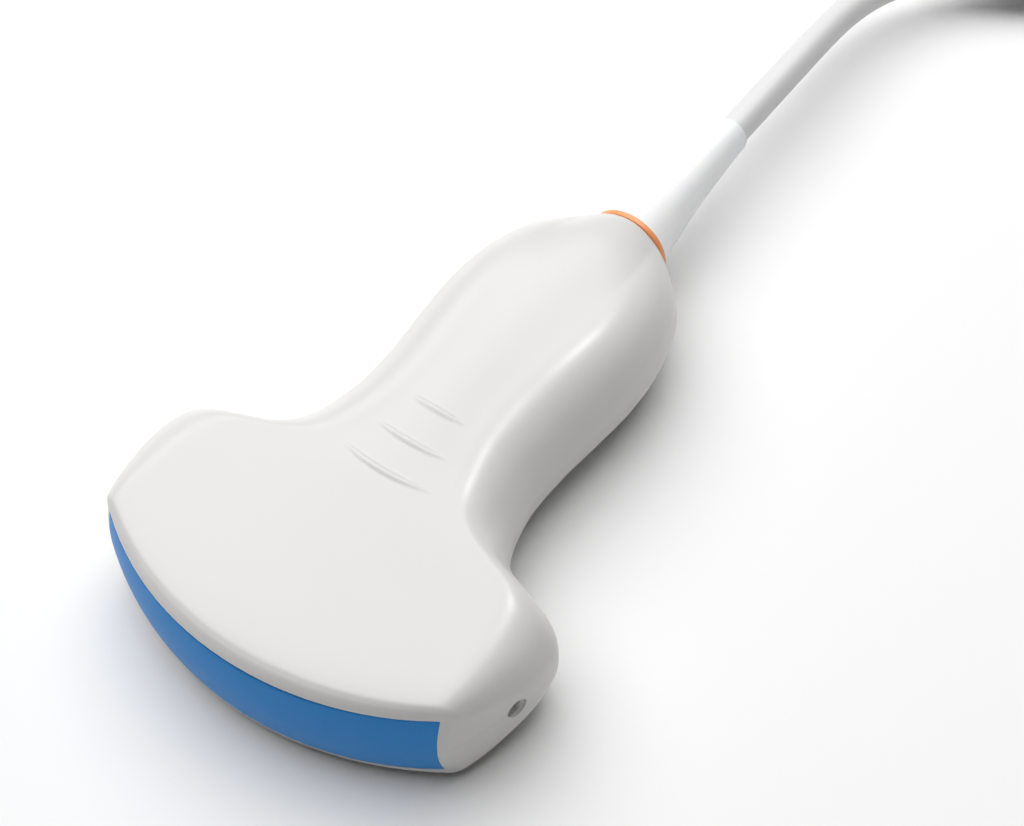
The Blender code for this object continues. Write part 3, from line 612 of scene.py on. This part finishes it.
def drill_guide_holes(half):
    """The holes at both ends of the head that locate a needle guide, with a small chamfer."""
    wide = GUIDE_HOLE_RADIUS + 0.45
    profile = (
        (GUIDE_HOLE_RADIUS, GUIDE_HOLE_BOTTOM),
        (GUIDE_HOLE_RADIUS, GUIDE_HOLE_MOUTH - 0.2),
        (wide, GUIDE_HOLE_MOUTH + 0.25),
        (wide, GUIDE_HOLE_MOUTH + 3.25),
    )
    for side in (1, -1):

        def place(a, b, out, end=side):
            return probe_point(end * out, GUIDE_HOLE_ALONG + a, b)

        cut(half, turned("guide_hole_cutter", profile, place, half.data.materials[0], 64))
    half.data.shade_smooth()
    half.data.set_sharp_from_angle(angle=math.radians(32.0))


def make_housing(finish):
    for node, side in (("housing_top", 1), ("housing_bottom", -1)):
        half = housing_half(f"{node}_shell", side, finish)
        drill_guide_holes(half)
        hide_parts(node)


def lens_point(share, radius, level):
    """A point of the lens: share runs from -1 to 1 along its arc, level from -1 to 1 over its height."""
    angle = share * math.asin(LENS_HALF_CHORD / (LENS_RADIUS + LENS_CROWN * (1 - level**2)))
    depth = LENS_RADIUS - radius * math.cos(angle)
    return probe_point(radius * math.sin(angle), depth, level * LENS_HALF_HEIGHT)


def make_lens(finish):
    """The lens, crowned between its edges, with the small radius that its rim has."""
    columns, levels = 120, 24
    section = []
    for j in range(levels + 1):
        level = -math.cos(math.pi * j / levels)
        edge = max(abs(level) - 0.97, 0.0) / 0.03
        section.append((LENS_RADIUS + LENS_CROWN * (1 - level**2) - 0.12 * edge**2, level))
    back = LENS_RADIUS - LENS_THICKNESS
    section += [(back, 1.0), (back, -1.0)]
    shares = [2 * k / columns - 1 for k in range(columns + 1)]
    loops = [[lens_point(share, radius, level) for radius, level in section] for share in shares]
    lens = bridged("acoustic_lens_skin", loops, finish)
    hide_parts("acoustic_lens")


# ---------------------------------------------------------------- tail and cable


def make_ring(finish):
    """The identification ring, with soft edges."""
    low, high = RING_START, RING_START + RING_WIDTH
    edge = 0.25
    corner = [math.pi / 2 * k / 5 for k in range(6)]
    outside = [
        (RING_RADIUS - edge * (1 - math.sin(a)), low + edge * (1 - math.cos(a))) for a in corner
    ]
    outside += [
        (RING_RADIUS - edge * (1 - math.cos(a)), high - edge * (1 - math.sin(a))) for a in corner
    ]
    ring = [(TAIL_BORE, low), *outside, (TAIL_BORE, high)]
    made = turned("identification_ring_band", ring, tail_point, finish, ring=True)
    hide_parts("identification_ring")


def make_relief(finish):
    """The tapered strain relief: its flange inside the housing, its flare, and its bore."""
    start = RING_START + RING_WIDTH + 0.1
    flare = (
        (7.75, start),
        (7.45, start + 1.2),
        (7.05, start + 3.2),
        (6.45, start + 6.6),
        (5.8, start + 11.2),
        (5.1, start + 17.3),
        (4.6, start + 23.3),
        (4.2, start + 29.3),
        (3.95, RELIEF_END - 1.8),
        (3.85, RELIEF_END - 0.3),
    )
    smooth = [tuple(row) for row in catmull_rom(flare, [6] * (len(flare) - 1))]
    flange_back, flange_front = TAIL_END - 10.5, TAIL_END - 8.0
    neck = TAIL_BORE - 0.3
    inside = ((8.5, flange_back), (8.5, flange_front), (neck, flange_front), (neck, start))
    bore = CABLE_RADIUS + 0.06
    mouth = ((3.78, RELIEF_END - 0.08), (3.6, RELIEF_END), (bore + 0.05, RELIEF_END))
    hollow = ((bore, RELIEF_END - 0.1), (3.55, RELIEF_END - 1.5), (3.55, flange_back))
    profile = [*inside, *smooth, *mouth, *hollow]
    relief = turned("strain_relief_sleeve", profile, tail_point, finish, ring=True)
    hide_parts("strain_relief")


def coil_route():
    """The stored length: inwards low, outwards on top, then up over the coil to the connector's boot."""
    pitch = 2 * CABLE_RADIUS
    half_spread = (COIL_COLUMNS - 1) / 2
    columns = [COIL_MIDDLE_RADIUS + pitch * (k - half_spread) for k in range(COIL_COLUMNS)]
    inner, outer = columns[0], columns[-1]
    entry = Vector(PROBE_SIDE_ROUTE[-1][:2]) - Vector(COIL_CENTRE)
    start = math.degrees(math.atan2(entry.y, entry.x))
    radii = [(0.0, entry.length), (90.0, outer)]
    for k in range(1, COIL_COLUMNS):
        radii += [(360.0 * k, columns[-k]), (360.0 * k + COLUMN_CHANGE, columns[-1 - k])]
    top = 360.0 * COIL_COLUMNS
    radii.append((top, inner))
    for k in range(1, COIL_COLUMNS):
        begin = top + 360.0 * k - 180.0
        radii += [(begin, columns[k - 1]), (begin + COLUMN_CHANGE, columns[k])]
    low, high = COIL_LIFT + CABLE_RADIUS, COIL_LIFT + 3 * CABLE_RADIUS
    end = 2 * top - start  # where it heads along +Y, into the boot
    radii += [(end - 180.0, outer), (end, inner)]
    heights = [(0.0, PROBE_SIDE_ROUTE[-1][2]), (90.0, low), (top - LAYER_CHANGE, low), (top, high)]
    heights += [(end - 255.0, high), (end - 165.0, high + CROSSING_LIFT), (end, BOOT_ROUTE[-1][2])]
    return [coil_point(start, t, radii, heights) for t in np.arange(4.0, end, 5.0)]


def eased(knots, t):
    """The value at t between (place, value) knots, level at each knot."""
    for (a, value_a), (b, value_b) in zip(knots, knots[1:]):
        if t <= b:
            share = min(max((t - a) / (b - a), 0.0), 1.0)
            return value_a + (value_b - value_a) * share * share * (3 - 2 * share)
    return knots[-1][1]


def coil_point(start, t, radii, heights):
    """The cable's place after t degrees round the coil."""
    radius = eased(radii, t)
    angle = math.radians(start + t)
    x, y = COIL_CENTRE
    return (x + radius * math.cos(angle), y + radius * math.sin(angle), eased(heights, t))


def make_cable(finish):
    """One cable from the strain relief, through the coil, to the connector's boot, and its length."""
    probe_side = catmull_rom(PROBE_SIDE_ROUTE, [6] * (len(PROBE_SIDE_ROUTE) - 1))
    route = [*map(tuple, probe_side), *coil_route(), *BOOT_ROUTE]
    route[0] = (0.0, PROBE_SIDE_ROUTE[0][1] - 0.5, PROBE_SIDE_ROUTE[0][2])
    curve = bpy.data.curves.new("probe_cable", "CURVE")
    curve.dimensions = "3D"
    curve.bevel_depth = CABLE_RADIUS * MM
    curve.bevel_resolution = 8
    curve.use_fill_caps = True
    spline = curve.splines.new("POLY")
    spline.points.add(len(route) - 1)
    for point, place in zip(spline.points, route):
        point.co = (*(c * MM for c in place), 1.0)
    spline.use_smooth = True
    curve.materials.append(finish)
    cable = bpy.data.objects.new("probe_cable", curve)
    bpy.context.scene.collection.objects.link(cable)
    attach(cable, "root")
    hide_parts(*CABLE_NODES)
    length = sum((Vector(a) - Vector(b)).length for a, b in zip(route, route[1:])) * MM
    return cable, length


def declare_cord():
    """Where the cable leaves the strain relief, in metres; nothing is done with it."""
    exit_point = tuple(c * MM for c in tail_point(0.0, 0.0, RELIEF_END))


# ---------------------------------------------------------------- stage


def aim(obj, target):
    """Turn a camera or a light towards a target."""
    direction = Vector(target) - obj.location
    obj.rotation_euler = direction.to_track_quat("-Z", "Y").to_euler()


def around(target, azimuth, elevation, distance):
    """A place round a target: azimuth 0 is in front, at -Y."""
    az, el = math.radians(azimuth), math.radians(elevation)
    back = Vector((math.sin(az) * math.cos(el), -math.cos(az) * math.cos(el), math.sin(el)))
    return Vector(target) + back * distance


def make_camera():
    data = bpy.data.cameras.new("camera")
    data.lens = CAMERA_LENS
    data.sensor_width = 36.0
    data.shift_x = CAMERA_SHIFT
    data.clip_start = 0.01
    camera = bpy.data.objects.new("camera", data)
    bpy.context.scene.collection.objects.link(camera)
    target = Vector(CAMERA_TARGET) * MM
    camera.location = around(target, CAMERA_AZIMUTH, CAMERA_ELEVATION, CAMERA_DISTANCE * MM)
    aim(camera, target)
    bpy.context.scene.camera = camera


def glow_from_afar(finish):
    """Keep the floor pale where the key no longer reaches it, for the views from low down."""
    distance = finish.tree.nodes.new("ShaderNodeVectorMath")
    distance.operation = "LENGTH"
    finish.link(finish.place, distance.inputs[0])
    rise = finish.tree.nodes.new("ShaderNodeMapRange")
    rise.interpolation_type = "SMOOTHSTEP"
    rise.inputs["From Min"].default_value = GLOW_START
    rise.inputs["From Max"].default_value = GLOW_FULL
    rise.inputs["To Max"].default_value = GLOW_STRENGTH
    finish.link(distance.outputs["Value"], rise.inputs["Value"])
    finish.link(rise.outputs["Result"], finish.shader.inputs["Emission Strength"])


def make_floor():
    """A wide pale floor with a little unevenness in its gloss."""
    side = FLOOR_HALF_SIDE
    mesh = bpy.data.meshes.new("floor")
    corners = [(-side, -side, 0), (side, -side, 0), (side, side, 0), (-side, side, 0)]
    mesh.from_pydata(corners, [], [(0, 1, 2, 3)])
    finish = Nodes("floor_white", (0.91, 0.91, 0.91), 0.9)
    finish.rough(finish.noise(12.0, 3.0), 0.85, 0.95)
    finish.set(Specular_IOR_Level=0.1, Emission_Color=(1.0, 1.0, 1.0, 1.0))
    glow_from_afar(finish)
    mesh.materials.append(finish.material)
    floor = bpy.data.objects.new("floor", mesh)
    bpy.context.scene.collection.objects.link(floor)


def area_light(name, azimuth, elevation, distance, size, power):
    """A round soft light that faces the probe."""
    data = bpy.data.lights.new(name, "AREA")
    data.shape = "DISK"
    data.size = size
    data.energy = power
    light = bpy.data.objects.new(name, data)
    bpy.context.scene.collection.objects.link(light)
    light.location = around(LIGHT_TARGET, azimuth, elevation, distance)
    aim(light, LIGHT_TARGET)
    return light


def make_lights():
    """A broad key high on the left, a small light behind for highlights, and a weak white surround."""
    world = bpy.data.worlds.new("studio")
    world.use_nodes = True
    background = world.node_tree.nodes["Background"]
    background.inputs["Color"].default_value = (1.0, 1.0, 1.0, 1.0)
    background.inputs["Strength"].default_value = SURROUND
    bpy.context.scene.world = world
    area_light("key", *KEY)
    glint = area_light("glint", *GLINT)
    glint.visible_diffuse = False


def main():
    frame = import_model()
    bpy.context.scene.view_settings.view_transform = "Standard"
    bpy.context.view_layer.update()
    finishes = make_finishes()
    paint_cad_nodes(frame, finishes)
    make_camera()
    cable, length = make_cable(finishes["cable_grey"])
    make_housing(finishes["housing_white"])
    make_lens(finishes["lens_blue"])
    make_ring(finishes["ring_orange"])
    make_relief(finishes["strain_relief_white"])
    declare_cord()
    make_floor()
    make_lights()


main()
